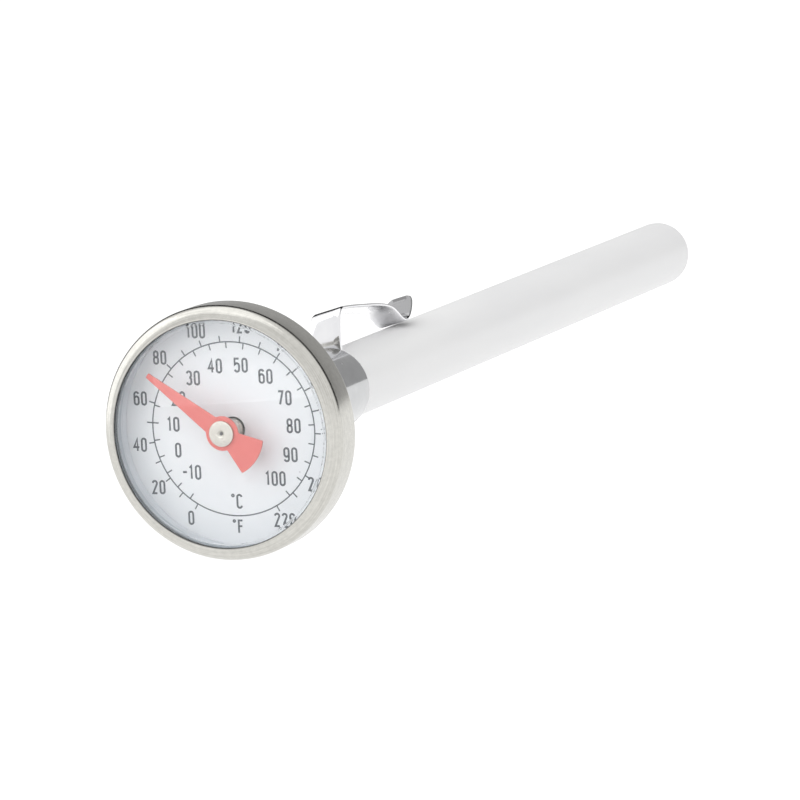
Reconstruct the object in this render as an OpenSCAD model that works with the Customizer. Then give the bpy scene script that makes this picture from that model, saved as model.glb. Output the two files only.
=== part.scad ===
// Pocket dial thermometer: a bimetal dial head on a thin stem, in its clip-on sheath.
// Millimetres. +Y runs along the stem from the dial to the tip, +Z is the top of the dial.
// The origin is on the stem's axis, where the stem leaves the calibration nut.

/* [Head] */
// Outer radius of the bezel
head_r = 14.1; // [13.9:0.1:16]
// Radius of the opening inside the bezel's lip
lip_r = 12.7; // [12.3:0.1:12.7]
// Depth of the head, from the bezel's lip to the back of the case
head_depth = 7; // [7:0.1:8]
// Length of the bezel along the axis
bezel_depth = 5.1; // [5.1:0.1:5.3]
// Sheet thickness of the bezel and the case
sheet_t = 0.3; // [0.25:0.05:0.35]
// Height of the crystal's crown above the bezel's lip
crystal_rise = 1; // [0.8:0.1:1.5]
// Thickness of the crystal
crystal_t = 1; // [0.8:0.1:1.1]

/* [Dial and pointer] */
// Thickness of the dial plate
dial_t = 0.3; // [0.2:0.05:0.4]
// Lowest mark on the scale, in degrees Fahrenheit
scale_low = 0; // [-40:10:20]
// Highest mark on the scale, in degrees Fahrenheit
scale_high = 220; // [120:10:240]
// Angle that the scale covers
scale_sweep = 301.6; // [270:0.1:320]
// How much closer together the marks are at the cold end than at the hot end
scale_growth = 0.086; // [0:0.002:0.2]
// Angle by which the dial is turned clockwise from the clip
dial_turn = 5.5; // [-10:0.5:10]
// Reading shown by the pointer at rest, in degrees Fahrenheit
reading = 75; // [20:1:120]
// Radius of the pointer's tip
pointer_tip_r = 10.6; // [8:0.1:11]
// Radius of the pointer's tail
pointer_tail_r = 4.8; // [3:0.1:6]

/* [Stem] */
// Radius of the stem
stem_r = 1.9; // [1.8:0.05:2]
// Length of the stem behind the calibration nut
stem_length = 127; // [110:1:130]
// Wall thickness of the stem tube
stem_wall = 0.25; // [0.2:0.05:0.3]
// Radius of the wire that turns the pointer
shaft_r = 0.4; // [0.3:0.05:0.45]
// Turns in the bimetal coil
coil_turns = 20; // [10:1:24]
// Length of the bimetal coil
coil_length = 42; // [30:1:44]

/* [Calibration nut] */
// Width of the nut across its flats
nut_af = 7.9; // [7.5:0.1:8.2]
// Length of the hexagon
hex_length = 4; // [3:0.1:5]
// Length of the round spigot that the sheath's mouth pushes over
spigot_length = 4; // [3:0.1:5]
// Radius of the spigot
spigot_r = 3.1; // [2.9:0.05:3.2]

/* [Sheath] */
// Outer radius of the sheath tube
sheath_r = 4.12; // [4:0.01:4.3]
// Room between the stem's tip and the bottom of the sheath
sheath_spare = 3.3; // [2:0.1:12]
// Thickness of the sheath's closed end
sheath_end_t = 2.7; // [2:0.1:3]
// Radius of the rounding at the closed end
sheath_end_round = 2.9; // [2:0.1:3]
// Outer radius of the collar
collar_r = 4.67; // [4.6:0.01:4.8]
// Length of the collar
collar_length = 20.4; // [15:0.1:24]

/* [Clip] */
// Width of the clip's strip
clip_width = 3.8; // [3:0.1:4.2]
// Thickness of the clip's strip
clip_t = 0.35; // [0.3:0.05:0.4]
// Sideways lean of the clip's arm
clip_lean = 11; // [0:1:18]

/* [Hidden] */
$fn = 96;

// Running clearance between parts that turn or slide on each other
running = 0.05;
// Fine resolution for large circles
fine = 720;

// Places along the axis, from the origin towards the dial
washer_t = 0.25;
washer_r = 3.6;
nut_front_y = -(hex_length + spigot_length);
case_y = nut_front_y - washer_t;
lip_y = case_y - head_depth;
bezel_back_y = lip_y + bezel_depth;

// The bezel's bullnose and the sheets that nest inside it
nose_r = head_r - lip_r;
nose_y = lip_y + nose_r;
bezel_in_r = head_r - sheet_t;
rim_r = bezel_in_r - running;
step_y = bezel_back_y - 2 * sheet_t;
case_r = lip_r - 0.1;
case_round = 1;
rim_bend_r = 0.1;
crimp_r = 2 * sheet_t;
crimp_w = 0.7;
stem_hole_r = 1.75;

// The stack behind the crystal
dial_front_y = step_y - dial_t;
stack_r = rim_r - sheet_t - 0.15;
crystal_edge_r = lip_r + 0.35;
crystal_edge_y = lip_y + sheet_t + 0.1;
crystal_skirt_w = 0.6;
crystal_back_y = crystal_edge_y + 1.4;
gasket_t = 0.5;
gasket_hole_r = crystal_edge_r - crystal_skirt_w + 0.1;
spacer_front_y = crystal_back_y + gasket_t;
crown_y = lip_y - crystal_rise;
crown_h = crystal_edge_y - crown_y;
crystal_dome_r = (pow(crystal_edge_r, 2) + pow(crown_h, 2)) / (2 * crown_h);
crystal_centre_y = crown_y + crystal_dome_r;

// The pointer and its shaft
reading_share = (reading - scale_low) / (scale_high - scale_low);
sweep_share = reading_share + scale_growth * reading_share * (reading_share - 1);
pointer_angle = dial_turn + scale_sweep * (sweep_share - 0.5);
blade_t = 0.2;
blade_base_w = 2.3;
blade_tip_w = 0.56;
tail_neck_w = 1.2;
blade_y = lip_y + 1.1;
hub_r = 1.42;
hub_disc_t = 0.3;
hub_sleeve_r = 0.9;
hub_front_y = blade_y - hub_disc_t;
hub_back_y = blade_y + blade_t + 0.6;
boss_r = 1.9;
tail_half_angle = 24;

// The stem's inside
neck_r = stem_hole_r - running;
tube_bore_r = stem_r - stem_wall;
neck_bore_r = 1.3;
bush_r = 1.2;
bush_flange_r = 3;
bush_flange_t = 0.5;
bush_tail = 4;
bush_front_y = hub_back_y + 0.1;
shaft_hole_r = shaft_r + running;
plug_length = 4.5;
tube_end_y = stem_length - stem_r;
anchor_length = 3;
coil_end_y = stem_length - plug_length - anchor_length + 1;
coil_start_y = coil_end_y - coil_length;
shaft_end_y = coil_start_y - 0.4;
coil_r = 1.35;
coil_strip_t = 0.12;
coil_strip_w = 1.4;
coil_steps = 16;
collet_r = 0.85;
collet_length = 2.2;
guide_length = 2.5;

// The sheath, its collar and the clip
sheath_bore_r = spigot_r + running;
sheath_front_y = nut_front_y + hex_length + 0.1;
sheath_back_y = stem_length + sheath_spare + sheath_end_t;
collar_front_y = sheath_front_y + 0.25;
collar_back_y = collar_front_y + collar_length;
collar_seat_r = sheath_r + 0.08;
collar_bead_r = 0.3;
clip_foot_y = collar_back_y + 0.03;

// Along the clip: distance behind the collar, height above the axis, share of the lean, share of the width
CLIP = [
  [0.18, 4.30, 0, 1], [0.2, 5.4, 0.15, 1], [0.5, 6.6, 0.5, 1], [0.9, 7.65, 0.85, 1],
  [1.3, 8.25, 1, 1], [1.9, 8.5, 1, 1], [2.8, 8.5, 1, 1], [6, 8.2, 1, 1], [9, 7.85, 1, 0.98],
  [12, 7.5, 1, 0.96], [15, 7.0, 1, 0.95], [17, 6.4, 1, 0.95], [18.3, 5.65, 1, 0.95],
  [19.4, 4.9, 1, 0.95], [20.4, 4.5, 1, 0.95], [21.3, 4.65, 1, 0.95], [22.1, 5.15, 1, 0.95],
  [22.8, 5.9, 1, 0.93], [23.2, 6.5, 1, 0.88], [23.4, 6.9, 1, 0.75], [23.45, 7.1, 1, 0.5]
];

// A solid of revolution about the stem's axis: the outline's x is the radius, its y runs along +Y
module turned(steps = 96) {
  rotate([-90, 0, 0]) rotate_extrude($fn = steps) children();
}

// A rectangle from radius r0 to r1 and from y0 to y1
module band(r0, r1, y0, y1) {
  translate([r0, y0]) square([r1 - r0, y1 - y0]);
}

// A round bar or ring along the axis
module bar(r, y0, y1, hole = 0) {
  turned() band(hole, r, y0, y1);
}

// A quarter ring centred at radius r and place y, from radius inner to outer: a sheet's rounded corner
module corner(r, y, outer, inner, back) {
  intersection() {
    translate([r, y]) difference() {
      circle(r = outer, $fn = 96);
      circle(r = inner, $fn = 96);
    }
    translate([r, back ? y : y - outer]) square(outer);
  }
}

// The faces of a strip with n lengths and four corners at each of its n + 1 stations
function strip_faces(n) = concat(
  [[3, 2, 1, 0]],
  [for (i = [0:n - 1], k = [0:3], half = [0, 1])
    let (a = 4 * i + k, b = 4 * i + (k + 1) % 4)
    half == 0 ? [a, b, b + 4] : [a, b + 4, a + 4]],
  [[4 * n, 4 * n + 1, 4 * n + 2, 4 * n + 3]]
);

// ---- Head ----

module bezel() {
  color("silver") turned(128) {
    corner(lip_r, nose_y, nose_r, nose_r - sheet_t, false);
    band(bezel_in_r, head_r, nose_y, bezel_back_y - crimp_r);
    corner(head_r - crimp_r, bezel_back_y - crimp_r, crimp_r, crimp_r - sheet_t, true);
    band(rim_r - crimp_w, head_r - crimp_r, bezel_back_y - sheet_t, bezel_back_y);
    translate([lip_r, lip_y + sheet_t / 2]) circle(d = sheet_t, $fn = 32);
  }
}

module crystal() {
  color("azure", 0.4) turned(128) {
    intersection() {
      difference() {
        translate([0, crystal_centre_y]) circle(r = crystal_dome_r, $fn = fine);
        translate([0, crystal_centre_y]) circle(r = crystal_dome_r - crystal_t, $fn = fine);
      }
      band(0, crystal_edge_r, crown_y - 1, crystal_edge_y + crystal_t);
    }
    band(crystal_edge_r - crystal_skirt_w, crystal_edge_r, crystal_edge_y + sheet_t, crystal_back_y);
  }
}

module crystal_gasket() {
  color("dimgray") bar(rim_r - sheet_t, crystal_back_y, spacer_front_y, gasket_hole_r);
}

module spacer_ring() {
  color("lightsteelblue") bar(stack_r + running, spacer_front_y, dial_front_y, lip_r + running);
}

module dial_plate() {
  color("white") bar(stack_r, dial_front_y, step_y, bush_r + 0.15);
}

module case_back() {
  color("silver") turned(128) {
    band(rim_r - sheet_t, rim_r, spacer_front_y, step_y - rim_bend_r);
    corner(rim_r - sheet_t - rim_bend_r, step_y - rim_bend_r, sheet_t + rim_bend_r, rim_bend_r, true);
    band(case_r - sheet_t, rim_r - sheet_t - rim_bend_r, step_y, step_y + sheet_t);
    band(case_r - sheet_t, case_r, step_y, case_y - case_round);
    corner(case_r - case_round, case_y - case_round, case_round, case_round - sheet_t, true);
    band(stem_hole_r, case_r - case_round, case_y - sheet_t, case_y);
  }
}

// ---- Pointer ----

// The pointer's flat outline, pointing up, with the hole for its hub's neck
module pointer_outline() {
  base = blade_base_w / 2;
  tip = blade_tip_w / 2;
  neck = tail_neck_w / 2;
  // The tail's straight sides run on past its arc, which then cuts them
  side_x = 2 * pointer_tail_r * sin(tail_half_angle);
  side_z = -2 * pointer_tail_r * cos(tail_half_angle);
  difference() {
    union() {
      circle(r = boss_r, $fn = 64);
      polygon([[-base, 0], [base, 0], [tip, pointer_tip_r], [-tip, pointer_tip_r]]);
      intersection() {
        circle(r = pointer_tail_r, $fn = 128);
        polygon([[-neck, 0], [neck, 0], [side_x, side_z], [-side_x, side_z]]);
      }
    }
    circle(r = hub_sleeve_r, $fn = 48);
  }
}

module pointer_blade() {
  color("tomato") rotate([0, pointer_angle, 0]) translate([0, blade_y + blade_t, 0])
    rotate([90, 0, 0]) linear_extrude(blade_t) pointer_outline();
}

module pointer_hub() {
  dimple_r = 0.3;
  dimple_depth = 0.12;
  color("gainsboro") turned() {
    band(dimple_r, hub_r, hub_front_y, hub_front_y + dimple_depth);
    band(0, hub_r, hub_front_y + dimple_depth, blade_y);
    band(shaft_r, hub_sleeve_r, blade_y, hub_back_y);
  }
}

module pointer_shaft() {
  color("dimgray") bar(shaft_r, blade_y, shaft_end_y);
}

module coil_collet() {
  color("goldenrod") bar(collet_r, coil_start_y - collet_length, coil_start_y, shaft_r);
}

// ---- Stem ----

module stem_tube() {
  color("lightgray") turned() {
    band(neck_bore_r, neck_r, case_y - sheet_t, 0);
    band(neck_bore_r, stem_r, 0, stem_wall);
    band(tube_bore_r, stem_r, stem_wall, tube_end_y);
  }
}

module stem_tip_plug() {
  color("silver") turned() {
    band(0, tube_bore_r, stem_length - plug_length, tube_end_y);
    intersection() {
      translate([0, tube_end_y]) circle(r = stem_r, $fn = 96);
      band(0, stem_r, tube_end_y, stem_length);
    }
  }
}

module dial_bush() {
  color("darkgray") turned() {
    band(shaft_hole_r, bush_r, bush_front_y, case_y - sheet_t - bush_flange_t);
    band(shaft_hole_r, bush_flange_r, case_y - sheet_t - bush_flange_t, case_y - sheet_t);
    band(shaft_hole_r, neck_bore_r, case_y - sheet_t, case_y + bush_tail);
  }
}

module calibration_nut() {
  hex_r = nut_af / sqrt(3);
  color("silver") difference() {
    union() {
      intersection() {
        translate([0, nut_front_y + hex_length, 0]) rotate([90, 0, 0])
          cylinder(r = hex_r, h = hex_length, $fn = 6);
        bar(hex_r - 0.2, nut_front_y, nut_front_y + hex_length);
      }
      bar(spigot_r, nut_front_y + hex_length, 0);
    }
    bar(neck_r, nut_front_y - 1, 1);
  }
}

module friction_washer() {
  color("gray") bar(washer_r, case_y, nut_front_y, neck_r + 0.15);
}

// A drilled bush pressed into the stem tube, which steadies the pointer's wire
module shaft_guide(y) {
  color("goldenrod") bar(tube_bore_r, y, y + guide_length, shaft_hole_r);
}

module upper_shaft_guide() {
  shaft_guide(coil_start_y / 3);
}

module lower_shaft_guide() {
  shaft_guide(coil_start_y - collet_length - guide_length - 1);
}

module coil_anchor() {
  color("goldenrod") bar(collet_r, coil_end_y, stem_length - plug_length);
}

// A point of the coil: the strip's edge e (0 or 1) and face f (0 inner, 1 outer) after a turns
function coil_point(a, e, f) =
  let (r = f == 0 ? coil_r - coil_strip_t : coil_r, turn = 360 * a,
       y = coil_start_y + (coil_length - coil_strip_w) * a / coil_turns + coil_strip_w * e)
  [r * sin(turn), y, r * cos(turn)];

module bimetal_coil() {
  n = coil_turns * coil_steps;
  corners = [[0, 0], [0, 1], [1, 1], [1, 0]];
  points = [for (i = [0:n], c = corners) coil_point(i / coil_steps, c[0], c[1])];
  color("peru") polyhedron(points, strip_faces(n));
}

// ---- Sheath ----

module sheath_tube() {
  end_r = sheath_end_round;
  bore_end_y = stem_length + sheath_spare;
  color("white") turned() difference() {
    union() {
      band(0, collar_seat_r, sheath_front_y, collar_back_y);
      band(0, sheath_r, sheath_front_y, sheath_back_y - end_r);
      band(0, sheath_r - end_r, sheath_front_y, sheath_back_y);
      translate([sheath_r - end_r, sheath_back_y - end_r]) circle(r = end_r, $fn = 96);
    }
    band(-end_r, sheath_bore_r, sheath_front_y - 1, bore_end_y);
    band(-end_r, 0, bore_end_y - 1, sheath_back_y + 1);
  }
}

module clip_collar() {
  color("gainsboro") turned() {
    band(collar_seat_r, collar_r, collar_front_y, collar_back_y);
    translate([collar_r, collar_front_y + collar_bead_r]) circle(r = collar_bead_r, $fn = 32);
  }
}

// The four corners of the clip's strip at one of its stations
function clip_corners(i) =
  let (s = CLIP[i], ahead = CLIP[min(i + 1, len(CLIP) - 1)], behind = CLIP[max(i - 1, 0)],
       rise = [ahead[0] - behind[0], ahead[1] - behind[1]], run = rise / norm(rise),
       lean = clip_lean * s[2], w = clip_width * s[3] / 2, t = clip_t / 2)
  [for (c = [[1, -1], [1, 1], [-1, 1], [-1, -1]])
    let (across = c[0] * w, off = c[1] * t)
    [across * cos(lean) - off * run[0] * sin(lean), clip_foot_y + s[0] - off * run[1],
     s[1] + across * sin(lean) + off * run[0] * cos(lean)]];

module pocket_clip() {
  last = len(CLIP) - 1;
  points = [for (i = [0:last]) each clip_corners(i)];
  color("gainsboro") polyhedron(points, strip_faces(last));
}

bezel();
crystal();
crystal_gasket();
spacer_ring();
dial_plate();
case_back();
pointer_blade();
pointer_hub();
pointer_shaft();
coil_collet();
stem_tube();
stem_tip_plug();
dial_bush();
calibration_nut();
friction_washer();
upper_shaft_guide();
lower_shaft_guide();
coil_anchor();
bimetal_coil();
sheath_tube();
clip_collar();
pocket_clip();
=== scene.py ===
"""Looks of the pocket dial thermometer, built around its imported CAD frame.

The frame is the part's own, in metres: +Y runs along the stem from the dial to the tip, and +Z
is the top of the dial. Shapes are drawn here in millimetres and scaled as their meshes are made.
"""

import math

import bmesh
import bpy
from mathutils import Matrix, Vector


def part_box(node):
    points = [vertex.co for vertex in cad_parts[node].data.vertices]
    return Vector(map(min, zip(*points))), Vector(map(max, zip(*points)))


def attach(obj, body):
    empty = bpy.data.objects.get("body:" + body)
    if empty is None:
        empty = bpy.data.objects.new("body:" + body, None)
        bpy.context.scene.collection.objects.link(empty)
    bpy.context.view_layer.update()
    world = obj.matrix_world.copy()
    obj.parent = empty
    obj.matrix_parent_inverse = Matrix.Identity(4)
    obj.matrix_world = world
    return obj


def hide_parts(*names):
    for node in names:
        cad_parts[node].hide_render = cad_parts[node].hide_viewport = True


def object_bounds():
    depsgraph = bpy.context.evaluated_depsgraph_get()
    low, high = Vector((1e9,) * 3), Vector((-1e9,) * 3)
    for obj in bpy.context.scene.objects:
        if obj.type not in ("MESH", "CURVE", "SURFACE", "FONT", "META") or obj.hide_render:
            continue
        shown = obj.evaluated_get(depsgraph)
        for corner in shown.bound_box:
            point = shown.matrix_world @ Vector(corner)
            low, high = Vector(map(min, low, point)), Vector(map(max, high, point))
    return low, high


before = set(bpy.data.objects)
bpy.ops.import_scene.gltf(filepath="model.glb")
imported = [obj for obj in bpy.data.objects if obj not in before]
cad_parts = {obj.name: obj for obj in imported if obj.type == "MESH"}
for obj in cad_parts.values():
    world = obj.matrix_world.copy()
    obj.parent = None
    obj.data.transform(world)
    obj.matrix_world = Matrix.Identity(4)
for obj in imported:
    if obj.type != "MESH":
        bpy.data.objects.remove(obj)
cad_low, cad_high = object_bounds()

MM = 0.001
TURN = 2 * math.pi

# ---------------------------------------------------------------- places and sizes, in millimetres


def place(node):
    """A turned node's outer radius, and where it starts and ends along the axis."""
    low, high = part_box(node)
    return high.x / MM, low.y / MM, high.y / MM


HEAD_R, LIP_Y, BEZEL_BACK_Y = place("bezel")
CRYSTAL_R, CROWN_Y, CRYSTAL_BACK_Y = place("crystal")
_, _, SPACER_Y = place("crystal_gasket")
SPACER_R, _, DIAL_Y = place("spacer_ring")
DIAL_R, _, DIAL_BACK_Y = place("dial_plate")
RIM_R, CASE_RIM_Y, CASE_Y = place("case_back")
HUB_R, HUB_Y, HUB_BACK_Y = place("pointer_hub")
FLANGE_R, BUSH_Y, BUSH_END_Y = place("dial_bush")
NUT_R, NUT_Y, NUT_END_Y = place("calibration_nut")
SEAT_R, SHEATH_Y, SHEATH_END_Y = place("sheath_tube")
COLLAR_BEAD_R, COLLAR_Y, COLLAR_END_Y = place("clip_collar")
BLADE_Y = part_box("pointer_blade")[0].y / MM
BLADE_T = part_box("pointer_blade")[1].y / MM - BLADE_Y
_, _, STEM_END_Y = place("stem_tip_plug")

SHEET_T = 0.3
LIP_R = 12.7
NOSE_R = HEAD_R - LIP_R
CRIMP_R = 2 * SHEET_T
CRIMP_IN_R = RIM_R - 0.7
CRYSTAL_EDGE_Y = LIP_Y + 0.4
CRYSTAL_T = 1.0
CRYSTAL_SKIRT_W = 0.3
# A fine step round the crystal, just inside the bezel's lip
CRYSTAL_STEP_R = 12.2
CRYSTAL_STEP = 0.14
CASE_R = LIP_R - 0.1
CASE_ROUND = 1.0
STEM_HOLE_R = 1.75
SLEEVE_R = 0.9
SHAFT_HOLE_R = 0.45
BUSH_R = 1.2
BUSH_TAIL_R = 1.3
FLANGE_T = 0.5
NECK_R = 1.7
NUT_FLATS = 7.9
SPIGOT_R = 3.1
HEX_END_Y = NUT_Y + 4.0
SHEATH_R = 4.12
SHEATH_BORE_R = SPIGOT_R + 0.05
SHEATH_ROUND = 2.9
SHEATH_BORE_END_Y = STEM_END_Y + 3.3
COLLAR_R = 4.67
COLLAR_BORE_R = SEAT_R

# ---------------------------------------------------------------- outlines

# Closer to the axis than this is on it, and a run shorter than NO_LENGTH has no direction
ON_AXIS_R = 1e-6
NO_LENGTH = 1e-9
# A corner blunter than this stays as it is, and a curve takes up to this share of a side
BLUNT = math.radians(155)
CURVE_SHARE = 0.45
# The least cosine that an offset is stretched by at a corner
MITRE_LIMIT = 0.55
CAP_PARTS = 4


def arc(centre_r, centre_y, radius, start, end, parts):
    """Points along an arc in the (radius, y) plane, its angles in degrees from the +radius direction."""
    found = []
    for k in range(parts + 1):
        angle = math.radians(start + (end - start) * k / parts)
        found.append((centre_r + radius * math.cos(angle), centre_y + radius * math.sin(angle)))
    return found


def rounded(points, size, parts=4, closed=True):
    """The same line with its sharp corners turned into small curves that start a given size away."""
    found = []
    count = len(points)
    for k, corner in enumerate(points):
        if not closed and k in (0, count - 1):
            found.append(corner)
            continue
        here = Vector(corner)
        back = Vector(points[k - 1]) - here
        ahead = Vector(points[(k + 1) % count]) - here
        on_axis = closed and abs(corner[0]) < ON_AXIS_R
        doubled = min(back.length, ahead.length) < NO_LENGTH
        if on_axis or doubled or back.angle(ahead) > BLUNT:
            found.append(corner)
            continue
        start = here + back.normalized() * min(size, CURVE_SHARE * back.length)
        end = here + ahead.normalized() * min(size, CURVE_SHARE * ahead.length)
        for step in range(parts + 1):
            t = step / parts
            point = start * (1 - t) ** 2 + here * (2 * t * (1 - t)) + end * t**2
            found.append(tuple(point))
    return found


def side_steps(points, closed):
    """The unit normal at each point of a line, stretched at corners so that an offset stays parallel."""
    count = len(points)
    found = []
    for k in range(count):
        here = Vector(points[k])
        before = Vector(points[k - 1]) if closed or k else here
        after = Vector(points[(k + 1) % count]) if closed or k < count - 1 else here
        runs = [run.normalized() for run in (here - before, after - here) if run.length > NO_LENGTH]
        normals = [Vector((-run.y, run.x)) for run in runs]
        middle = sum(normals, Vector((0, 0))).normalized()
        found.append(middle / max(middle.dot(normals[0]), MITRE_LIMIT))
    return found


def sheet_outline(path, thickness):
    """The closed outline of a sheet of metal along the middle line path, with round ends."""
    steps = side_steps(path, closed=False)
    half = thickness / 2
    left = [tuple(Vector(p) + n * half) for p, n in zip(path, steps)]
    right = [tuple(Vector(p) - n * half) for p, n in zip(path, steps)]
    outline = list(left)
    outline += end_cap(path[-1], left[-1])
    outline += right[::-1]
    outline += end_cap(path[0], right[0])
    return outline


def end_cap(middle, start):
    """The points between the ends of the half circle that starts at start, clockwise about middle."""
    spoke = Vector(start) - Vector(middle)
    found = []
    for k in range(1, CAP_PARTS):
        angle = -math.pi * k / CAP_PARTS
        across = spoke.x * math.cos(angle) - spoke.y * math.sin(angle)
        along = spoke.x * math.sin(angle) + spoke.y * math.cos(angle)
        found.append(tuple(Vector(middle) + Vector((across, along))))
    return found


# ---------------------------------------------------------------- meshes


def piece(name, bm, body, material, replaces=(), sharp=34):
    """Makes an object from a mesh drawn in millimetres, and rides it on its body."""
    bmesh.ops.recalc_face_normals(bm, faces=bm.faces)
    bmesh.ops.scale(bm, vec=(MM, MM, MM), verts=bm.verts)
    mesh = bpy.data.meshes.new(name)
    bm.to_mesh(mesh)
    bm.free()
    mesh.shade_smooth()
    mesh.set_sharp_from_angle(angle=math.radians(sharp))
    mesh.materials.append(material)
    made = bpy.data.objects.new(name, mesh)
    bpy.context.scene.collection.objects.link(made)
    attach(made, body)
    if replaces:
        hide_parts(*replaces)


def revolve(outline, steps=192, limit=None):
    """A solid of revolution about the stem's axis. limit gives the most radius at an angle, for flats."""
    bm = bmesh.new()
    rings = []
    for radius, y in outline:
        count = steps if radius > ON_AXIS_R else 1
        ring = []
        for k in range(count):
            angle = TURN * k / steps
            reach = min(radius, limit(angle)) if limit else radius
            ring.append(bm.verts.new((reach * math.sin(angle), y, reach * math.cos(angle))))
        rings.append(ring)
    for near, far in zip(rings, rings[1:] + rings[:1]):
        if len(near) == 1 and len(far) == 1:
            continue
        for k in range(steps):
            after = (k + 1) % steps
            corners = [near[k % len(near)], near[after % len(near)]]
            corners += [far[after % len(far)], far[k % len(far)]]
            bm.faces.new(list(dict.fromkeys(corners)))
    return bm


def add_ribbon(bm, points, width, y_front, y_back, closed=False):
    """Adds a flat printed line of constant width along points in the (x, z) plane."""
    steps = side_steps(points, closed)
    half = width / 2
    stations = []
    for point, step in zip(points, steps):
        left = Vector(point) + step * half
        right = Vector(point) - step * half
        stations.append(
            [
                bm.verts.new((left.x, y_front, left.y)),
                bm.verts.new((right.x, y_front, right.y)),
                bm.verts.new((right.x, y_back, right.y)),
                bm.verts.new((left.x, y_back, left.y)),
            ]
        )
    ahead = stations[1:] + (stations[:1] if closed else [])
    for near, far in zip(stations, ahead):
        for k in range(4):
            bm.faces.new([near[k], near[(k + 1) % 4], far[(k + 1) % 4], far[k]])
    if not closed:
        bm.faces.new(stations[0])
        bm.faces.new(stations[-1][::-1])


def loft(sections):
    """A solid through closed sections of equally many points, with its two ends filled."""
    bm = bmesh.new()
    rings = [[bm.verts.new(p) for p in section] for section in sections]
    for near, far in zip(rings, rings[1:]):
        for k in range(len(near)):
            after = (k + 1) % len(near)
            bm.faces.new([near[k], near[after], far[after], far[k]])
    bm.faces.new(rings[0])
    bm.faces.new(rings[-1][::-1])
    return bm


# ---------------------------------------------------------------- material nodes

# In metres, so that nothing is divided by 0 on the axis
LEAST_RADIUS = 1e-5
NOISE_ROUGHNESS = 0.55
# The share of cells without a speck
EMPTY_CELLS = 0.93
# How far broad wear moves the roughness up and down
BROAD_WEAR = 0.03


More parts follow.
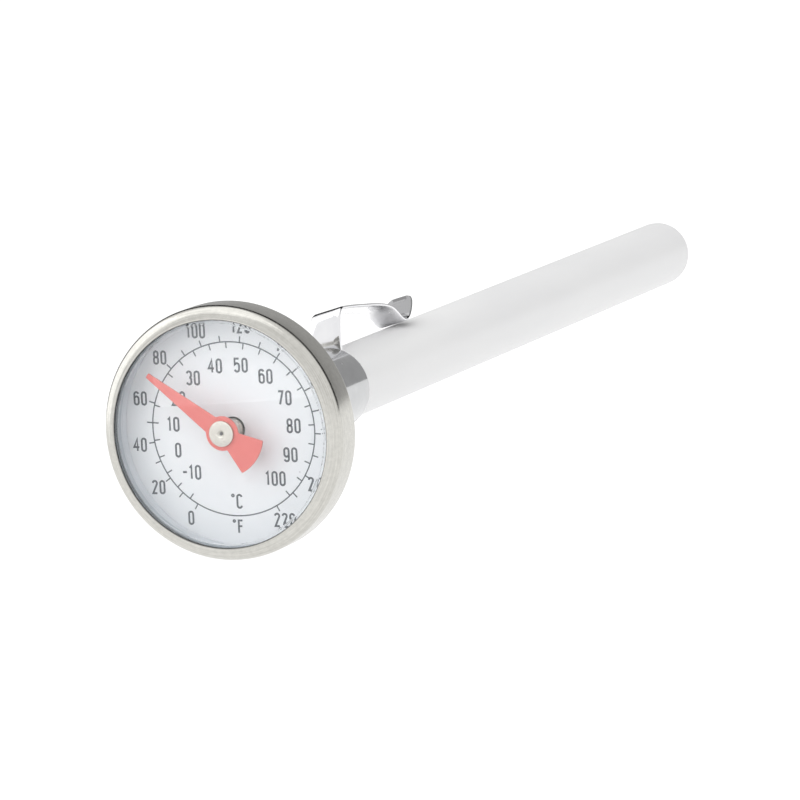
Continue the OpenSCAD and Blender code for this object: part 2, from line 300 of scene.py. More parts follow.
class Paint:
    """One Principled material and the nodes that give it its detail."""

    def __init__(self, name, **values):
        self.material = bpy.data.materials.new(name)
        self.material.use_nodes = True
        self.tree = self.material.node_tree
        self.shader = self.tree.nodes["Principled BSDF"]
        for key, value in values.items():
            socket = key.replace("_", " ").title().replace("Ior", "IOR")
            self.shader.inputs[socket].default_value = value
        self.axes = None

    def add(self, kind, inputs=None, **settings):
        """Adds a node. inputs are sockets by name or number, each a value or an output to link."""
        made = self.tree.nodes.new(kind)
        for key, value in settings.items():
            setattr(made, key, value)
        for key, value in (inputs or {}).items():
            if isinstance(value, bpy.types.NodeSocket):
                self.tree.links.new(value, made.inputs[key])
            else:
                made.inputs[key].default_value = value
        return made

    def math(self, operation, first, second=0.0):
        """The result of one step of arithmetic on values or outputs."""
        return self.add("ShaderNodeMath", {0: first, 1: second}, operation=operation).outputs[0]

    def split(self):
        """The object's own x, y and z, in metres."""
        if self.axes is None:
            coordinates = self.add("ShaderNodeTexCoord").outputs["Object"]
            self.axes = self.add("ShaderNodeSeparateXYZ", {0: coordinates}).outputs
        return self.axes

    def radius(self):
        """Distance from the stem's axis, in metres."""
        x, _, z = self.split()
        squares = self.math("ADD", self.math("MULTIPLY", x, x), self.math("MULTIPLY", z, z))
        return self.math("MAXIMUM", self.math("SQRT", squares), LEAST_RADIUS)

    def turned(self, across, around=2.2):
        """Fine lines round the stem's axis: across in lines a metre, around in changes a turn."""
        x, y, z = self.split()
        radius = self.radius()
        first = self.math("MULTIPLY", radius, across)
        second = self.math("MULTIPLY", y, across)
        third = self.math("MULTIPLY", self.math("DIVIDE", x, radius), around)
        spot = self.add("ShaderNodeCombineXYZ", {0: first, 1: second, 2: third}).outputs[0]
        fourth = self.math("MULTIPLY", self.math("DIVIDE", z, radius), around)
        return self.noise(spot, 3.0, fourth)

    def stretched(self, fx, fy, fz, detail=3.0):
        """Noise with its own number of changes a metre along each axis."""
        axes = self.split()
        scaled = {k: self.math("MULTIPLY", axes[k], f) for k, f in enumerate((fx, fy, fz))}
        return self.noise(self.add("ShaderNodeCombineXYZ", scaled).outputs[0], detail)

    def even(self, changes, detail=3.0):
        """Noise with the same number of changes a metre every way."""
        return self.stretched(changes, changes, changes, detail)

    def noise(self, vector, detail, fourth=None):
        """Noise at a vector that has its scale already, in four dimensions where fourth is given."""
        inputs = {"Vector": vector, "Scale": 1.0, "Detail": detail, "Roughness": NOISE_ROUGHNESS}
        if fourth is None:
            return self.add("ShaderNodeTexNoise", inputs).outputs["Fac"]
        inputs["W"] = fourth
        return self.add("ShaderNodeTexNoise", inputs, noise_dimensions="4D").outputs["Fac"]

    def specks(self, scale, reach):
        """1 in small round specks, and 0 elsewhere."""
        x, y, z = self.split()
        vector = self.add("ShaderNodeCombineXYZ", {0: x, 1: y, 2: z}).outputs[0]
        cells = self.add("ShaderNodeTexVoronoi", {"Vector": vector, "Scale": scale})
        near = self.math("LESS_THAN", cells.outputs["Distance"], reach)
        chosen = self.add("ShaderNodeSeparateColor", {0: cells.outputs["Color"]}).outputs[0]
        return self.math("MULTIPLY", near, self.math("GREATER_THAN", chosen, EMPTY_CELLS))

    def spread(self, value, low, high, start=0.3, end=0.7):
        """A pattern's range turned into numbers from low to high."""
        inputs = {"Value": value, "From Min": start, "From Max": end, "To Min": low, "To Max": high}
        return self.add("ShaderNodeMapRange", inputs).outputs["Result"]

    def blend(self, factor, first, second):
        """A colour between two, each four numbers or an output."""
        inputs = {0: factor, 6: first, 7: second}
        return self.add("ShaderNodeMix", inputs, data_type="RGBA").outputs[2]

    def tone(self, pattern, light, dark):
        """A colour that goes from dark to light as a pattern does."""
        return self.blend(self.spread(pattern, 0.0, 1.0), rgb(*dark), rgb(*light))

    def worn(self, fine, rough, broad):
        """Roughness that follows a fine pattern through a range, and a broad one a little."""
        return self.math("ADD", self.spread(fine, *rough), self.spread(broad, -BROAD_WEAR, BROAD_WEAR))

    def colour(self, output):
        """Takes the base colour from an output."""
        self.tree.links.new(output, self.shader.inputs["Base Color"])

    def roughness(self, output):
        """Takes the roughness from an output."""
        self.tree.links.new(output, self.shader.inputs["Roughness"])

    def relief(self, height, distance):
        """Bump from a pattern, its full height given in millimetres."""
        bump = self.add("ShaderNodeBump", {"Height": height, "Distance": distance * MM, "Strength": 1.0})
        self.tree.links.new(bump.outputs["Normal"], self.shader.inputs["Normal"])


def rgb(red, green, blue):
    """A colour as nodes take it, opaque."""
    return (red, green, blue, 1.0)


# ---------------------------------------------------------------- materials

# How far the painted shade on turned metal, and the painted dark reflection on chrome, take to fade
SHADE_FADE = 0.12
DARK_REFLECTION_FADE = 1.2


def turned_metal(name, light, dark, rough, lines=9000.0, relief=0.0006, grain=0.3, shade_r=None):
    """Metal finished on a lathe, with fine marks round the axis. Painted shade darkens it near the axis,
    within the radius that the last argument gives.
    """
    paint = Paint(name, metallic=1.0, anisotropic=grain)
    marks = paint.turned(lines)
    broad = paint.even(260.0)
    tone = paint.tone(marks, light, dark)
    if shade_r:
        # Painted shade: dark grey near the axis, within the given radius
        unshaded = paint.spread(paint.radius(), 0.0, 1.0, shade_r * MM, (shade_r + SHADE_FADE) * MM)
        tone = paint.blend(unshaded, rgb(0.13, 0.13, 0.13), tone)
    mottle = paint.even(1900.0, 4.0)
    paint.colour(paint.blend(paint.spread(mottle, 0.0, 0.16), tone, rgb(0.2, 0.2, 0.19)))
    paint.roughness(paint.worn(marks, rough, broad))
    paint.relief(marks, relief)
    return paint.material


def drawn_metal(name, light, dark, rough):
    """Metal drawn along the stem, with fine lengthwise marks."""
    paint = Paint(name, metallic=1.0, anisotropic=0.3)
    marks = paint.stretched(11000.0, 90.0, 11000.0)
    broad = paint.stretched(300.0, 60.0, 300.0)
    paint.colour(paint.tone(marks, light, dark))
    paint.roughness(paint.worn(marks, rough, broad))
    paint.relief(marks, 0.0005)
    return paint.material


def chrome_plate(name, light, dark, dark_reflection_y=None):
    """Bright chrome with a faint haze and a few pits. From the given y to the rear it has a painted dark
    reflection.
    """
    paint = Paint(name, metallic=1.0)
    haze = paint.even(420.0)
    pits = paint.specks(900.0, 0.14)
    tone = paint.tone(haze, light, dark)
    if dark_reflection_y:
        # Painted dark reflection: dark grey chrome behind the given y
        dark_reflection = paint.spread(paint.split()[1], 0.0, 1.0, dark_reflection_y * MM, (dark_reflection_y + DARK_REFLECTION_FADE) * MM)
        tone = paint.blend(dark_reflection, tone, rgb(0.27, 0.27, 0.275))
    paint.colour(paint.blend(pits, tone, rgb(0.9, 0.9, 0.9)))
    paint.roughness(paint.math("ADD", paint.spread(haze, 0.07, 0.14), paint.math("MULTIPLY", pits, 0.3)))
    paint.relief(paint.even(2500.0), 0.0003)
    return paint.material


def moulded_plastic():
    """Satin white plastic with the fine grain of its mould."""
    paint = Paint("moulded_plastic", specular_ior_level=0.45, ior=1.5)
    grain = paint.even(5200.0, 4.0)
    flow = paint.stretched(120.0, 30.0, 120.0)
    paint.colour(paint.tone(flow, (0.74, 0.74, 0.74), (0.7, 0.7, 0.705)))
    paint.roughness(paint.worn(grain, (0.36, 0.46), flow))
    paint.relief(grain, 0.0012)
    return paint.material


def dial_enamel():
    """White enamel on the dial, with a little orange peel and a few specks of dust."""
    paint = Paint("dial_enamel", specular_ior_level=0.4)
    peel = paint.even(2600.0)
    cloud = paint.even(90.0)
    dust = paint.specks(420.0, 0.035)
    tone = paint.tone(cloud, (0.88, 0.885, 0.89), (0.84, 0.85, 0.86))
    paint.colour(paint.blend(dust, tone, rgb(0.3, 0.3, 0.31)))
    paint.roughness(paint.spread(peel, 0.38, 0.5))
    paint.relief(peel, 0.0015)
    return paint.material


def lacquer(name, light, dark, rough):
    """Paint with fine mottling."""
    paint = Paint(name, specular_ior_level=0.45)
    peel = paint.even(4200.0)
    cloud = paint.even(700.0)
    paint.colour(paint.tone(cloud, light, dark))
    paint.roughness(paint.spread(peel, *rough))
    paint.relief(peel, 0.001)
    return paint.material


def rubber():
    """Pale grey rubber with a powdery grain."""
    paint = Paint("gasket_rubber", specular_ior_level=0.3)
    grain = paint.even(6000.0)
    paint.colour(paint.tone(grain, (0.64, 0.68, 0.71), (0.56, 0.6, 0.64)))
    paint.roughness(paint.spread(grain, 0.7, 0.9))
    paint.relief(grain, 0.003)
    return paint.material


def clear_acrylic():
    """The crystal: clear, with lamps shining through it onto the dial."""
    paint = Paint("clear_acrylic", transmission_weight=1.0, ior=1.49)
    haze = paint.even(700.0)
    paint.colour(paint.tone(haze, (0.985, 0.99, 1.0), (0.965, 0.98, 0.99)))
    paint.roughness(paint.spread(haze, 0.0, 0.012))
    through = paint.add("ShaderNodeBsdfTransparent", {"Color": rgb(0.93, 0.945, 0.955)}).outputs[0]
    shadow_ray = paint.add("ShaderNodeLightPath").outputs["Is Shadow Ray"]
    mixed = paint.add("ShaderNodeMixShader", {0: shadow_ray, 1: paint.shader.outputs[0], 2: through})
    paint.tree.links.new(mixed.outputs[0], paint.tree.nodes["Material Output"].inputs["Surface"])
    return paint.material


SATIN = {"light": (0.68, 0.67, 0.63), "dark": (0.54, 0.53, 0.495)}
STAINLESS = turned_metal("satin_stainless", rough=(0.2, 0.28), relief=0.0008, **SATIN)
# Painted shade darkens the bezel's inner edge and the middle of the hub's dimple
BEZEL_SHADE_R = LIP_R - SHEET_T / 2 + 0.05
HUB_SHADE_R = 0.14
BEZEL = turned_metal(
    "satin_bezel", rough=(0.17, 0.23), relief=0.0007, grain=0.1, shade_r=BEZEL_SHADE_R, **SATIN
)
TURNED = {"light": (0.72, 0.69, 0.62), "dark": (0.6, 0.57, 0.51), "lines": 14000.0}
NICKEL = turned_metal("turned_nickel", rough=(0.22, 0.34), **TURNED)
HUB = turned_metal("turned_hub", rough=(0.26, 0.38), shade_r=HUB_SHADE_R, **TURNED)
BRASS = turned_metal("turned_brass", (0.74, 0.55, 0.25), (0.6, 0.42, 0.17), (0.22, 0.36))
STEM_STEEL = drawn_metal("drawn_stainless", (0.7, 0.7, 0.69), (0.6, 0.6, 0.59), (0.2, 0.3))
WIRE = drawn_metal("steel_wire", (0.42, 0.42, 0.43), (0.33, 0.33, 0.34), (0.28, 0.4))
BIMETAL = turned_metal("bimetal_strip", (0.55, 0.46, 0.38), (0.44, 0.38, 0.33), (0.3, 0.42), 5000.0)
# The clip's upturned end has a painted dark reflection, darker than the rest
TONGUE_REFLECTION_Y = COLLAR_END_Y + 20.7
COLLAR_CHROME = chrome_plate("collar_chrome", (0.54, 0.545, 0.55), (0.48, 0.485, 0.49))
CLIP_CHROME = chrome_plate("clip_chrome", (0.88, 0.88, 0.89), (0.8, 0.8, 0.82), TONGUE_REFLECTION_Y)
PLASTIC = moulded_plastic()
ENAMEL = dial_enamel()
RED = lacquer("red_lacquer", (0.79, 0.19, 0.165), (0.75, 0.165, 0.145), (0.36, 0.46))
INK = lacquer("dial_ink", (0.105, 0.118, 0.13), (0.085, 0.095, 0.105), (0.45, 0.6))
SPACER = lacquer("spacer_enamel", (0.78, 0.81, 0.84), (0.74, 0.77, 0.8), (0.35, 0.45))
RUBBER = rubber()
ACRYLIC = clear_acrylic()

# ---------------------------------------------------------------- head


def bezel_ring():
    """The rolled bezel: its bullnose, side wall and the crimp that holds the case."""
    half = SHEET_T / 2
    path = arc(LIP_R, LIP_Y + NOSE_R, NOSE_R - half, -90, 0, 20)
    path += arc(HEAD_R - CRIMP_R, BEZEL_BACK_Y - CRIMP_R, CRIMP_R - half, 0, 90, 8)
    path += [(CRIMP_IN_R + half, BEZEL_BACK_Y - half)]
    ring = revolve(sheet_outline(path, SHEET_T), 256)
    piece("bezel_ring", ring, "head", BEZEL, ["bezel"])


def domed_crystal():
    """The crystal: a shallow dome with a skirt that the bezel's lip holds."""
    crown_h = CRYSTAL_EDGE_Y - CROWN_Y
    dome_r = (CRYSTAL_R**2 + crown_h**2) / (2 * crown_h)
    centre_y = CROWN_Y + dome_r
    skirt_r = CRYSTAL_R - CRYSTAL_SKIRT_W
    rings = 40
    step_slope = 0.05

    def dome(reach, radius):
        """The dome's section from the axis out to reach."""
        radii = [reach * k / rings for k in range(rings + 1)]
        return [(r, centre_y - math.sqrt(radius**2 - r**2)) for r in radii]

    front = dome(CRYSTAL_STEP_R, dome_r)
    step = [(CRYSTAL_STEP_R + step_slope, front[-1][1] + CRYSTAL_STEP)]
    step += [(CRYSTAL_R, CRYSTAL_EDGE_Y + CRYSTAL_STEP)]
    skirt = [(CRYSTAL_R, CRYSTAL_BACK_Y), (skirt_r, CRYSTAL_BACK_Y)]
    back = dome(skirt_r, dome_r - CRYSTAL_T)[::-1]
    outline = rounded(front + step + skirt + back, 0.12)
    piece("domed_crystal", revolve(outline), "head", ACRYLIC, ["crystal"])


def dial_ring():
    """The spacer between the gasket and the dial, with softened edges."""
    bore_r = LIP_R + 0.05
    outline = [(bore_r, SPACER_Y), (SPACER_R, SPACER_Y), (SPACER_R, DIAL_Y), (bore_r, DIAL_Y)]
    piece("inner_spacer", revolve(rounded(outline, 0.08)), "head", SPACER, ["spacer_ring"])


def dial_disc():
    """The dial plate with its centre hole."""
    hole = BUSH_R + 0.15
    outline = [(hole, DIAL_Y), (DIAL_R, DIAL_Y), (DIAL_R, DIAL_BACK_Y), (hole, DIAL_BACK_Y)]
    piece("dial_disc", revolve(rounded(outline, 0.05)), "head", ENAMEL, ["dial_plate"])


def case_shell():
    """The pressed back of the case."""
    half = SHEET_T / 2
    step_y = DIAL_BACK_Y + half
    path = [
        (RIM_R - half, CASE_RIM_Y + half),
        (RIM_R - half, step_y),
        (CASE_R - half, step_y),
        (CASE_R - half, CASE_Y - half),
        (STEM_HOLE_R + half, CASE_Y - half),
    ]
    bends = [path[0]]
    for k, size in ((1, 0.25), (2, 0.3), (3, CASE_ROUND)):
        bends += rounded(path[k - 1 : k + 2], size, 8, closed=False)[1:-1]
    bends.append(path[-1])
    shell = revolve(sheet_outline(bends, SHEET_T))
    piece("case_shell", shell, "head", STAINLESS, ["case_back"])


# ---------------------------------------------------------------- dial print

SCALE_LOW_F = 0
SCALE_HIGH_F = 220
SCALE_SWEEP = 301.6
# How much closer together the marks are at the cold end than at the hot end
SCALE_GROWTH = 0.086
# The dial sits turned a little clockwise from the clip
DIAL_TURN = 5.5
RING_R = 9.6
LINE_W = 0.14
TICK_LENGTH = 0.62
PRINT_FRONT_Y = DIAL_Y - 0.015
PRINT_BACK_Y = DIAL_Y + 0.01
# A character's sizes, as shares of its height: its line, half its width and height, and its waist
STROKE = 0.135
SIGN_STROKE = 0.75 * STROKE
HALF_W = 0.155
HALF_H = (1 - STROKE) / 2
MIDDLE = 0.02


def scale_angle(fahrenheit):
    """A temperature's place on the dial, clockwise from the clip's side, in radians."""
    share = (fahrenheit - SCALE_LOW_F) / (SCALE_HIGH_F - SCALE_LOW_F)
    share += SCALE_GROWTH * share * (share - 1)
    return math.radians(DIAL_TURN + SCALE_SWEEP * (share - 0.5))


def to_fahrenheit(celsius):
    """The same temperature in the scale's own degrees."""
    return 32 + 1.8 * celsius


def on_dial(radius, angle):
    """A point of the dial as seen from its front, with +X to the right."""
    return radius * math.sin(angle), radius * math.cos(angle)


def bow(centre_z, start, end, width=HALF_W):
    """A round stretch of a character, centred on its upright middle line."""
    return arc(0, centre_z, width, start, end, 10)


def slot_shape(low, high, width):
    """A closed upright slot, as in a narrow 0."""
    return bow(high - width, 180, 0, width) + bow(low + width, 0, -180, width)


def digit_six(turn=1):
    """A narrow 6, or a 9 when it is turned half round."""
    line = bow(HALF_H - HALF_W, 15, 180) + bow(HALF_W - HALF_H, 180, 360) + bow(MIDDLE - 0.04, 0, 180)
    return [(turn * x, turn * z) for x, z in line]


GLYPHS = {
    "0": [(slot_shape(-HALF_H, HALF_H, HALF_W), True)],
    "1": [([(-0.1, HALF_H - 0.14), (0.03, HALF_H), (0.03, -HALF_H)], False)],
    "2": [(bow(HALF_H - HALF_W, 175, -25) + [(-HALF_W, -HALF_H), (HALF_W, -HALF_H)], False)],
    "3": [
        (bow(HALF_H - HALF_W, 170, 0) + bow(MIDDLE + HALF_W, 0, -80), False),
        (bow(MIDDLE - HALF_W, 80, 0) + bow(HALF_W - HALF_H, 0, -170), False),
    ],
    "4": [
        ([(0.07, -HALF_H), (0.07, HALF_H), (-0.18, -0.17), (0.2, -0.17)], False),
    ],
    "5": [
        (
            [(HALF_W, HALF_H), (-HALF_W + 0.02, HALF_H), (-HALF_W, 0.03)]
            + bow(-0.03, 150, 0)
            + bow(HALF_W - HALF_H, 0, -170),
            False,
        )
    ],
    "6": [(digit_six(), False)],
    "7": [([(-HALF_W, HALF_H), (HALF_W, HALF_H), (-0.05, -HALF_H)], False)],
    "8": [
        (slot_shape(MIDDLE, HALF_H, HALF_W - 0.01), True),
        (slot_shape(-HALF_H, MIDDLE, HALF_W), True),
    ],
    "9": [(digit_six(-1), False)],
    "-": [([(-0.14, 0.0), (0.14, 0.0)], False)],
    "C": [(bow(HALF_H - HALF_W, 5, 180) + bow(HALF_W - HALF_H, 180, 355), False)],
    "F": [
        ([(-HALF_W + 0.02, -HALF_H), (-HALF_W + 0.02, HALF_H), (HALF_W, HALF_H)], False),
        ([(-HALF_W + 0.02, 0.03), (HALF_W - 0.03, 0.03)], False),
    ],
    "o": [(arc(0, HALF_H - 0.05, 0.075, 0, 345, 23), True)],
}
ADVANCE = {"1": 0.44, "-": 0.46, "o": 0.36}
USUAL_ADVANCE = 0.56


def write(bm, text, radius, angle, height):
    """Prints a short text, upright on the dial, centred at a radius and an angle."""
    x, z = on_dial(radius, angle)
    right = on_dial(1, math.radians(90 + DIAL_TURN))
    up = on_dial(1, math.radians(DIAL_TURN))
    widths = [ADVANCE.get(c, USUAL_ADVANCE) for c in text]
    pen = -sum(widths) / 2
    for character, width in zip(text, widths):
        pen += width / 2
        for points, closed in GLYPHS[character]:
            line = [(height * (pen + px), height * pz) for px, pz in points]
            line = [(x + a * right[0] + b * up[0], z + a * right[1] + b * up[1]) for a, b in line]
            line = [p for k, p in enumerate(line) if k == 0 or p != line[k - 1]]
            weight = height * (SIGN_STROKE if character == "o" else STROKE)
            add_ribbon(bm, line, weight, PRINT_FRONT_Y, PRINT_BACK_Y, closed)
        pen += width / 2


def dial_numbers():
    """The Fahrenheit numbers outside the ring and the Celsius numbers inside it."""
    below = math.radians(DIAL_TURN + 180)
    outer_r, outer_sign_r, outer_h = 11.4, 10.8, 1.58
    inner_r, inner_sign_r, inner_h = 7.15, 8.0, 1.65
    bm = bmesh.new()
    for value in range(SCALE_LOW_F, SCALE_HIGH_F + 1, 20):
        write(bm, str(value), outer_r, scale_angle(value), outer_h)
    write(bm, "oF", outer_sign_r, below, outer_h)
    piece("fahrenheit_numbers", bm, "head", INK)
    bm = bmesh.new()
    for value in range(-10, 101, 10):
        write(bm, str(value), inner_r, scale_angle(to_fahrenheit(value)), inner_h)
    write(bm, "oC", inner_sign_r, below, inner_h)
    piece("celsius_numbers", bm, "head", INK)


def dial_scale():
    """The ring, with Fahrenheit ticks outside it and Celsius ticks inside it."""
    bm = bmesh.new()
    parts = 128
    slack = 0.001
    first, last = scale_angle(SCALE_LOW_F), scale_angle(SCALE_HIGH_F)
    ring = [on_dial(RING_R, TURN * k / parts) for k in range(parts)]
    add_ribbon(bm, ring, LINE_W, PRINT_FRONT_Y, PRINT_BACK_Y, closed=True)
    marks = [(scale_angle(value), 1) for value in range(SCALE_LOW_F, SCALE_HIGH_F + 1, 10)]
    marks += [(scale_angle(to_fahrenheit(value)), -1) for value in range(-15, 101, 5)]
    for angle, side in marks:
        if first - slack <= angle <= last + slack:
            start = on_dial(RING_R + side * LINE_W / 2, angle)
            end = on_dial(RING_R + side * (TICK_LENGTH + LINE_W / 2), angle)
            add_ribbon(bm, [start, end], LINE_W, PRINT_FRONT_Y, PRINT_BACK_Y)
    piece("dial_scale", bm, "head", INK)


# ---------------------------------------------------------------- pointer

READING = 75
POINTER_ANGLE = scale_angle(READING)
TIP_R = 10.6
TAIL_R = 4.8
BOSS_R = 1.9
BASE_W = 2.3
TIP_W = 0.56
NECK_W = 1.2
TAIL_HALF_ANGLE = math.radians(24)
# The blade's edges are bevelled where its faces meet at more than this, in radians
RIM_ANGLE = 1.2
RIM_BEVEL = 0.035


def meets_circle(start, end, radius):
    """Where the line from start to end leaves the circle about the origin."""
    a, d = Vector(start), Vector(end) - Vector(start)
    b, c = a.dot(d), a.dot(a) - radius**2
    t = (-b + math.sqrt(b * b - d.dot(d) * c)) / d.dot(d)
    return tuple(a + d * t)


def degrees_of(point):
    """The direction of a point from the origin."""
    return math.degrees(math.atan2(point[1], point[0]))


def pointer_side():
    """The right-hand half of the pointer's outline, from its tip to the middle of its tail."""
    tip = [(TIP_W / 2 * 0.85, TIP_R), (TIP_W / 2, TIP_R - 0.05)]
    blade = meets_circle((BASE_W / 2, 0), (TIP_W / 2, TIP_R), BOSS_R)
    reach = 2 * TAIL_R
    far = (reach * math.sin(TAIL_HALF_ANGLE), -reach * math.cos(TAIL_HALF_ANGLE))
    neck = meets_circle((NECK_W / 2, 0), far, BOSS_R)
    corner = meets_circle((NECK_W / 2, 0), far, TAIL_R)
    boss = arc(0, 0, BOSS_R, degrees_of(blade), degrees_of(neck), 18)
    tail = arc(0, 0, TAIL_R, degrees_of(corner), -90, 12)
    return rounded(tip + boss + tail, 0.12, 3, closed=False)


def pointer_plate():
    """The pointer's blade, stamped from thin sheet, with a hole for the hub's neck."""
    side = pointer_side()
    outline = side + [(-x, z) for x, z in side[-2::-1]]
    hole = arc(0, 0, SLEEVE_R + 0.02, 0, 350, 35)
    bm = bmesh.new()
    edges = []
    for loop in (outline, hole):
        corners = [bm.verts.new((x, BLADE_Y, z)) for x, z in loop]
        edges += [bm.edges.new((corners[k - 1], corners[k])) for k in range(len(corners))]
    bmesh.ops.triangle_fill(bm, use_beauty=True, edges=edges)
    grown = bmesh.ops.extrude_face_region(bm, geom=list(bm.faces))
    moved = [v for v in grown["geom"] if isinstance(v, bmesh.types.BMVert)]
    bmesh.ops.translate(bm, vec=(0, BLADE_T, 0), verts=moved)
    bmesh.ops.recalc_face_normals(bm, faces=bm.faces)
    rims = [e for e in bm.edges if len(e.link_faces) == 2 and e.calc_face_angle() > RIM_ANGLE]
    bmesh.ops.bevel(bm, geom=rims, offset=RIM_BEVEL, segments=2, affect="EDGES", profile=0.6)
    bmesh.ops.rotate(bm, verts=bm.verts, cent=(0, 0, 0), matrix=Matrix.Rotation(POINTER_ANGLE, 3, "Y"))
    piece("pointer_plate", bm, "pointer", RED, ["pointer_blade"])


def hub_button():
    """The hub: a turned disc with a dimple, and the sleeve that grips the shaft."""
    dimple_r, dimple_depth = 0.36, 0.2
    bore_r = SHAFT_HOLE_R - 0.05
    outline = [
        (0, HUB_Y + dimple_depth),
        (dimple_r * 0.55, HUB_Y + dimple_depth * 0.75),
        (dimple_r, HUB_Y),
        (HUB_R, HUB_Y),
        (HUB_R, BLADE_Y),
        (SLEEVE_R, BLADE_Y),
        (SLEEVE_R, HUB_BACK_Y),
        (bore_r, HUB_BACK_Y),
        (bore_r, BLADE_Y),
        (0, BLADE_Y),
    ]
    piece("hub_button", revolve(rounded(outline, 0.07), 96), "pointer", HUB, ["pointer_hub"])


# ---------------------------------------------------------------- stem


def bush_collar():
    """The turned bush that carries the pointer's shaft through the dial."""
    flange_back_y = CASE_Y - SHEET_T
    outline = [
        (SHAFT_HOLE_R, BUSH_Y),
        (BUSH_R, BUSH_Y),
        (BUSH_R, flange_back_y - FLANGE_T),
        (FLANGE_R, flange_back_y - FLANGE_T),
        (FLANGE_R, flange_back_y),
        (BUSH_TAIL_R, flange_back_y),
        (BUSH_TAIL_R, BUSH_END_Y),
        (SHAFT_HOLE_R, BUSH_END_Y),
    ]
    piece("shaft_bush", revolve(rounded(outline, 0.1), 96), "stem", NICKEL, ["dial_bush"])


def hexagon(angle):
    """How far the nut's flats let it reach at an angle."""
    sixth = TURN / 6
    off = (angle + sixth / 2) % sixth - sixth / 2
    return NUT_FLATS / 2 / math.cos(off)


def hex_nut():
    """The calibration nut: a chamfered hexagon and the round spigot behind it."""
    chamfer_r = NUT_FLATS / 2 - 0.1
    chamfer_h = 0.4
    outline = [
        (NECK_R, NUT_Y),
        (chamfer_r, NUT_Y),
        (NUT_R, NUT_Y + chamfer_h),
        (NUT_R, HEX_END_Y - chamfer_h),
        (chamfer_r, HEX_END_Y),
        (SPIGOT_R, HEX_END_Y),
        (SPIGOT_R, NUT_END_Y),
        (NECK_R, NUT_END_Y),
    ]
    nut = revolve(rounded(outline, 0.15), limit=hexagon)
    piece("hex_nut", nut, "stem", NICKEL, ["calibration_nut"], 24)


# ---------------------------------------------------------------- sheath


def sheath_barrel():
    """The moulded tube with its seat for the collar and its domed end."""
    dome_r = SHEATH_R - SHEATH_ROUND
    dome_y = SHEATH_END_Y - SHEATH_ROUND
    mouth = [(SHEATH_BORE_R, SHEATH_Y), (SEAT_R, SHEATH_Y)]
    seat = [(SEAT_R, COLLAR_END_Y), (SHEATH_R, COLLAR_END_Y + 0.001)]
    end = arc(dome_r, dome_y, SHEATH_ROUND, 0, 90, 24)
    inside = [(0, SHEATH_END_Y), (0, SHEATH_BORE_END_Y), (SHEATH_BORE_R, SHEATH_BORE_END_Y)]
    outline = rounded(mouth + seat, 0.12, 4, closed=False) + end + inside
    piece("sheath_barrel", revolve(outline), "sheath", PLASTIC, ["sheath_tube"])


def chrome_collar():
    """The clip's collar: a chromed band with a beaded front edge."""
    bead = COLLAR_BEAD_R - COLLAR_R
    outline = [(COLLAR_BORE_R, COLLAR_Y)]
    outline += arc(COLLAR_R, COLLAR_Y + bead, bead, -90, 90, 10)
    outline += [(COLLAR_R, COLLAR_END_Y), (COLLAR_BORE_R, COLLAR_END_Y)]
    band = revolve(rounded(outline, 0.08))
    piece("chrome_collar", band, "sheath", COLLAR_CHROME, ["clip_collar"])


# Along the clip: distance behind the collar, height above the axis, share of the lean, share of the width
CLIP = [
    (0.18, 4.30, 0.0, 1.0),
    (0.2, 5.4, 0.15, 1.0),
    (0.5, 6.6, 0.5, 1.0),
    (0.9, 7.65, 0.85, 1.0),
    (1.3, 8.25, 1.0, 1.0),
    (1.9, 8.5, 1.0, 1.0),
    (2.8, 8.5, 1.0, 1.0),
    (6.0, 8.2, 1.0, 1.0),
    (9.0, 7.85, 1.0, 0.98),
    (12.0, 7.5, 1.0, 0.96),
    (15.0, 7.0, 1.0, 0.95),
    (17.0, 6.4, 1.0, 0.95),
    (18.3, 5.65, 1.0, 0.95),
    (19.4, 4.9, 1.0, 0.95),
    (20.4, 4.5, 1.0, 0.95),
    (21.3, 4.65, 1.0, 0.95),
    (22.1, 5.15, 1.0, 0.95),
    (22.8, 5.9, 1.0, 0.93),
    (23.2, 6.5, 1.0, 0.88),
    (23.4, 6.9, 1.0, 0.75),
    (23.45, 7.1, 1.0, 0.5),
]
CLIP_W = 3.8
CLIP_T = 0.35
CLIP_LEAN = 11
CLIP_FOOT_Y = COLLAR_END_Y + 0.03


def smooth_row(rows, parts):
    """More rows between the given ones, on a smooth curve through them."""
    found = []
    for k in range(len(rows) - 1):
        p0 = Vector(rows[max(k - 1, 0)])
        p1 = Vector(rows[k])
        p2 = Vector(rows[k + 1])
        p3 = Vector(rows[min(k + 2, len(rows) - 1)])
        for step in range(parts):
            t = step / parts
            a = 2 * p1 + (p2 - p0) * t
            b = (2 * p0 - 5 * p1 + 4 * p2 - p3) * t**2
            c = (3 * p1 - p0 - 3 * p2 + p3) * t**3
            found.append((a + b + c) / 2)
    found.append(Vector(rows[-1]))
    return found


def strip_section(width, thickness):
    """A strip's section with rounded long edges, as (across, off) points round it."""
    half_w, radius = width / 2, thickness / 2
    parts = 4
    points = arc(half_w - radius, 0, radius, -90, 90, parts)
    points += [(half_w * s, radius) for s in (0.5, 0.0, -0.5)]
    points += arc(radius - half_w, 0, radius, 90, 270, parts)
    points += [(half_w * s, -radius) for s in (-0.5, 0.0, 0.5)]
    return points


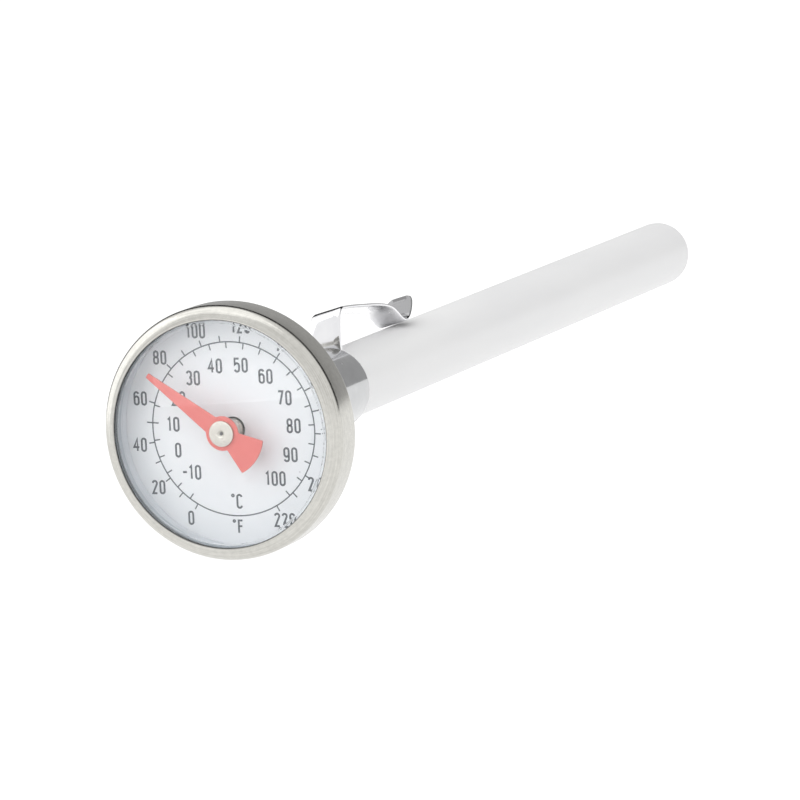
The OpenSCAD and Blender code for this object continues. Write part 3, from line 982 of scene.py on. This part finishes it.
def spring_clip():
    """The clip: a sprung strip that rises from the collar, runs back and turns up at its end."""
    rows = smooth_row(CLIP, 5)
    sections = []
    for k, (s, height, lean_share, width_share) in enumerate(rows):
        before, after = rows[max(k - 1, 0)], rows[min(k + 1, len(rows) - 1)]
        run = Vector((0, after[0] - before[0], after[1] - before[1])).normalized()
        lean = math.radians(CLIP_LEAN * lean_share)
        flat_normal = Vector((0, -run.z, run.y))
        across = Vector((math.cos(lean), 0, math.sin(lean)))
        normal = Vector((-math.sin(lean) * flat_normal.z, flat_normal.y, math.cos(lean) * flat_normal.z))
        middle = Vector((0, CLIP_FOOT_Y + s, height))
        section = strip_section(CLIP_W * width_share, CLIP_T)
        sections.append([middle + across * u + normal * v for u, v in section])
    piece("spring_clip", loft(sections), "clip", CLIP_CHROME, ["pocket_clip"], 50)


# ---------------------------------------------------------------- pieces kept from the CAD model

KEPT = {
    "crystal_gasket": RUBBER,
    "pointer_shaft": WIRE,
    "coil_collet": BRASS,
    "stem_tube": STEM_STEEL,
    "stem_tip_plug": STEM_STEEL,
    "friction_washer": WIRE,
    "upper_shaft_guide": BRASS,
    "lower_shaft_guide": BRASS,
    "coil_anchor": BRASS,
    "bimetal_coil": BIMETAL,
}


def finish_kept_nodes():
    """Gives these nodes their looks, in the shape that the CAD model has."""
    for name, material in KEPT.items():
        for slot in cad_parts[name].material_slots:
            slot.link = "OBJECT"
            slot.material = material


# ---------------------------------------------------------------- studio

FLOOR_Z = cad_low.z
FLOOR_HALF = 6.0
FLOOR_GREY = 0.12
FLOOR_GLOW = 1.0


def floor():
    """A plain white floor that glows a little, so that no shadow shows on it."""
    material = bpy.data.materials.new("white_floor")
    material.use_nodes = True
    shader = material.node_tree.nodes["Principled BSDF"]
    shader.inputs["Base Color"].default_value = rgb(FLOOR_GREY, FLOOR_GREY, FLOOR_GREY)
    shader.inputs["Roughness"].default_value = 1.0
    shader.inputs["Specular IOR Level"].default_value = 0.0
    shader.inputs["Emission Color"].default_value = rgb(1.0, 1.0, 1.0)
    shader.inputs["Emission Strength"].default_value = FLOOR_GLOW
    mesh = bpy.data.meshes.new("floor")
    bm = bmesh.new()
    bmesh.ops.create_grid(bm, x_segments=4, y_segments=4, size=FLOOR_HALF)
    bm.to_mesh(mesh)
    bm.free()
    mesh.materials.append(material)
    made = bpy.data.objects.new("floor", mesh)
    made.location.z = FLOOR_Z
    bpy.context.scene.collection.objects.link(made)


def softbox(name, azimuth, elevation, distance, size, radiance, mirrored=True):
    """A square lamp that faces the part, at an azimuth from the dial's front towards +X.

    One that isn't mirrored lights matt surfaces only. Its distance and size are in metres.
    """
    lamp = bpy.data.lights.new(name, "AREA")
    lamp.shape = "SQUARE"
    lamp.size = size
    lamp.energy = radiance * 4 * size**2
    made = bpy.data.objects.new(name, lamp)
    a, e = math.radians(azimuth), math.radians(elevation)
    away = Vector((math.sin(a) * math.cos(e), -math.cos(a) * math.cos(e), math.sin(e)))
    made.location = (cad_low + cad_high) / 2 + away * distance
    made.rotation_mode = "QUATERNION"
    made.rotation_quaternion = away.to_track_quat("Z", "Y")
    made.visible_glossy = mirrored
    bpy.context.scene.collection.objects.link(made)


# Brightness of the room against how far behind the dial it lies, from -1 in front to 1 behind
WALLS = [(-1.0, 1.0), (0.47, 1.0), (0.6, 0.02), (0.84, 0.02), (0.895, 0.48), (1.0, 0.48)]


def walls():
    """The room: pale in front of the dial, with a dark gap and then a grey wall behind it."""
    world = bpy.data.worlds.new("studio")
    bpy.context.scene.world = world
    world.use_nodes = True
    nodes, links = world.node_tree.nodes, world.node_tree.links
    direction = nodes.new("ShaderNodeTexCoord").outputs["Generated"]
    split = nodes.new("ShaderNodeSeparateXYZ")
    links.new(direction, split.inputs[0])
    behind = nodes.new("ShaderNodeMapRange")
    behind.inputs["From Min"].default_value = -1.0
    links.new(split.outputs["Y"], behind.inputs["Value"])
    ramp = nodes.new("ShaderNodeValToRGB")
    stops = ramp.color_ramp.elements
    for k, (depth, light) in enumerate(WALLS):
        ends = {0: stops[0], len(WALLS) - 1: stops[-1]}
        stop = ends.get(k) or stops.new((depth + 1) / 2)
        stop.color = rgb(light, light, light)
    links.new(behind.outputs["Result"], ramp.inputs["Fac"])
    links.new(ramp.outputs["Color"], nodes["Background"].inputs["Color"])


def studio():
    """The white floor, the room and its four lamps, shown without a film look."""
    floor()
    walls()
    softbox("lamp_overhead", -50, 74, distance=1.0, size=1.1, radiance=0.45)
    softbox("lamp_left", -78, 20, distance=1.1, size=1.2, radiance=0.6)
    softbox("lamp_front", -12, 24, distance=1.3, size=1.3, radiance=1.05, mirrored=False)
    softbox("lamp_right", 80, 62, distance=1.2, size=1.0, radiance=0.65, mirrored=False)
    bpy.context.scene.view_settings.view_transform = "Standard"
    bpy.context.scene.view_settings.look = "None"


# ---------------------------------------------------------------- camera

CAMERA_AZIMUTH = math.radians(22.92)
CAMERA_ELEVATION = math.radians(6.73)
CAMERA_ROLL = math.radians(7.79)
CAMERA_DISTANCE = 0.665
CAMERA_LENS = 247.5
AIM = Vector((-7.38, 53.58, -6.73)) * MM


def camera():
    """A long lens in front of the dial, a little to its right and above, rolled as the part is turned."""
    a, e = CAMERA_AZIMUTH, CAMERA_ELEVATION
    forward = Vector((-math.sin(a) * math.cos(e), math.cos(a) * math.cos(e), -math.sin(e)))
    level = Vector((math.cos(a), math.sin(a), 0))
    down = forward.cross(level)
    right = level * math.cos(CAMERA_ROLL) + down * math.sin(CAMERA_ROLL)
    up = level * math.sin(CAMERA_ROLL) - down * math.cos(CAMERA_ROLL)
    lens = bpy.data.cameras.new("camera")
    lens.lens = CAMERA_LENS
    lens.sensor_width = 36
    lens.clip_start = 0.01
    made = bpy.data.objects.new("camera", lens)
    where = AIM - forward * CAMERA_DISTANCE
    turn = Matrix((right, up, -forward)).transposed().to_4x4()
    made.matrix_world = Matrix.Translation(where) @ turn
    bpy.context.scene.collection.objects.link(made)
    bpy.context.scene.camera = made


camera()
studio()
bezel_ring()
domed_crystal()
dial_ring()
dial_disc()
case_shell()
dial_numbers()
dial_scale()
pointer_plate()
hub_button()
bush_collar()
hex_nut()
sheath_barrel()
chrome_collar()
spring_clip()
finish_kept_nodes()
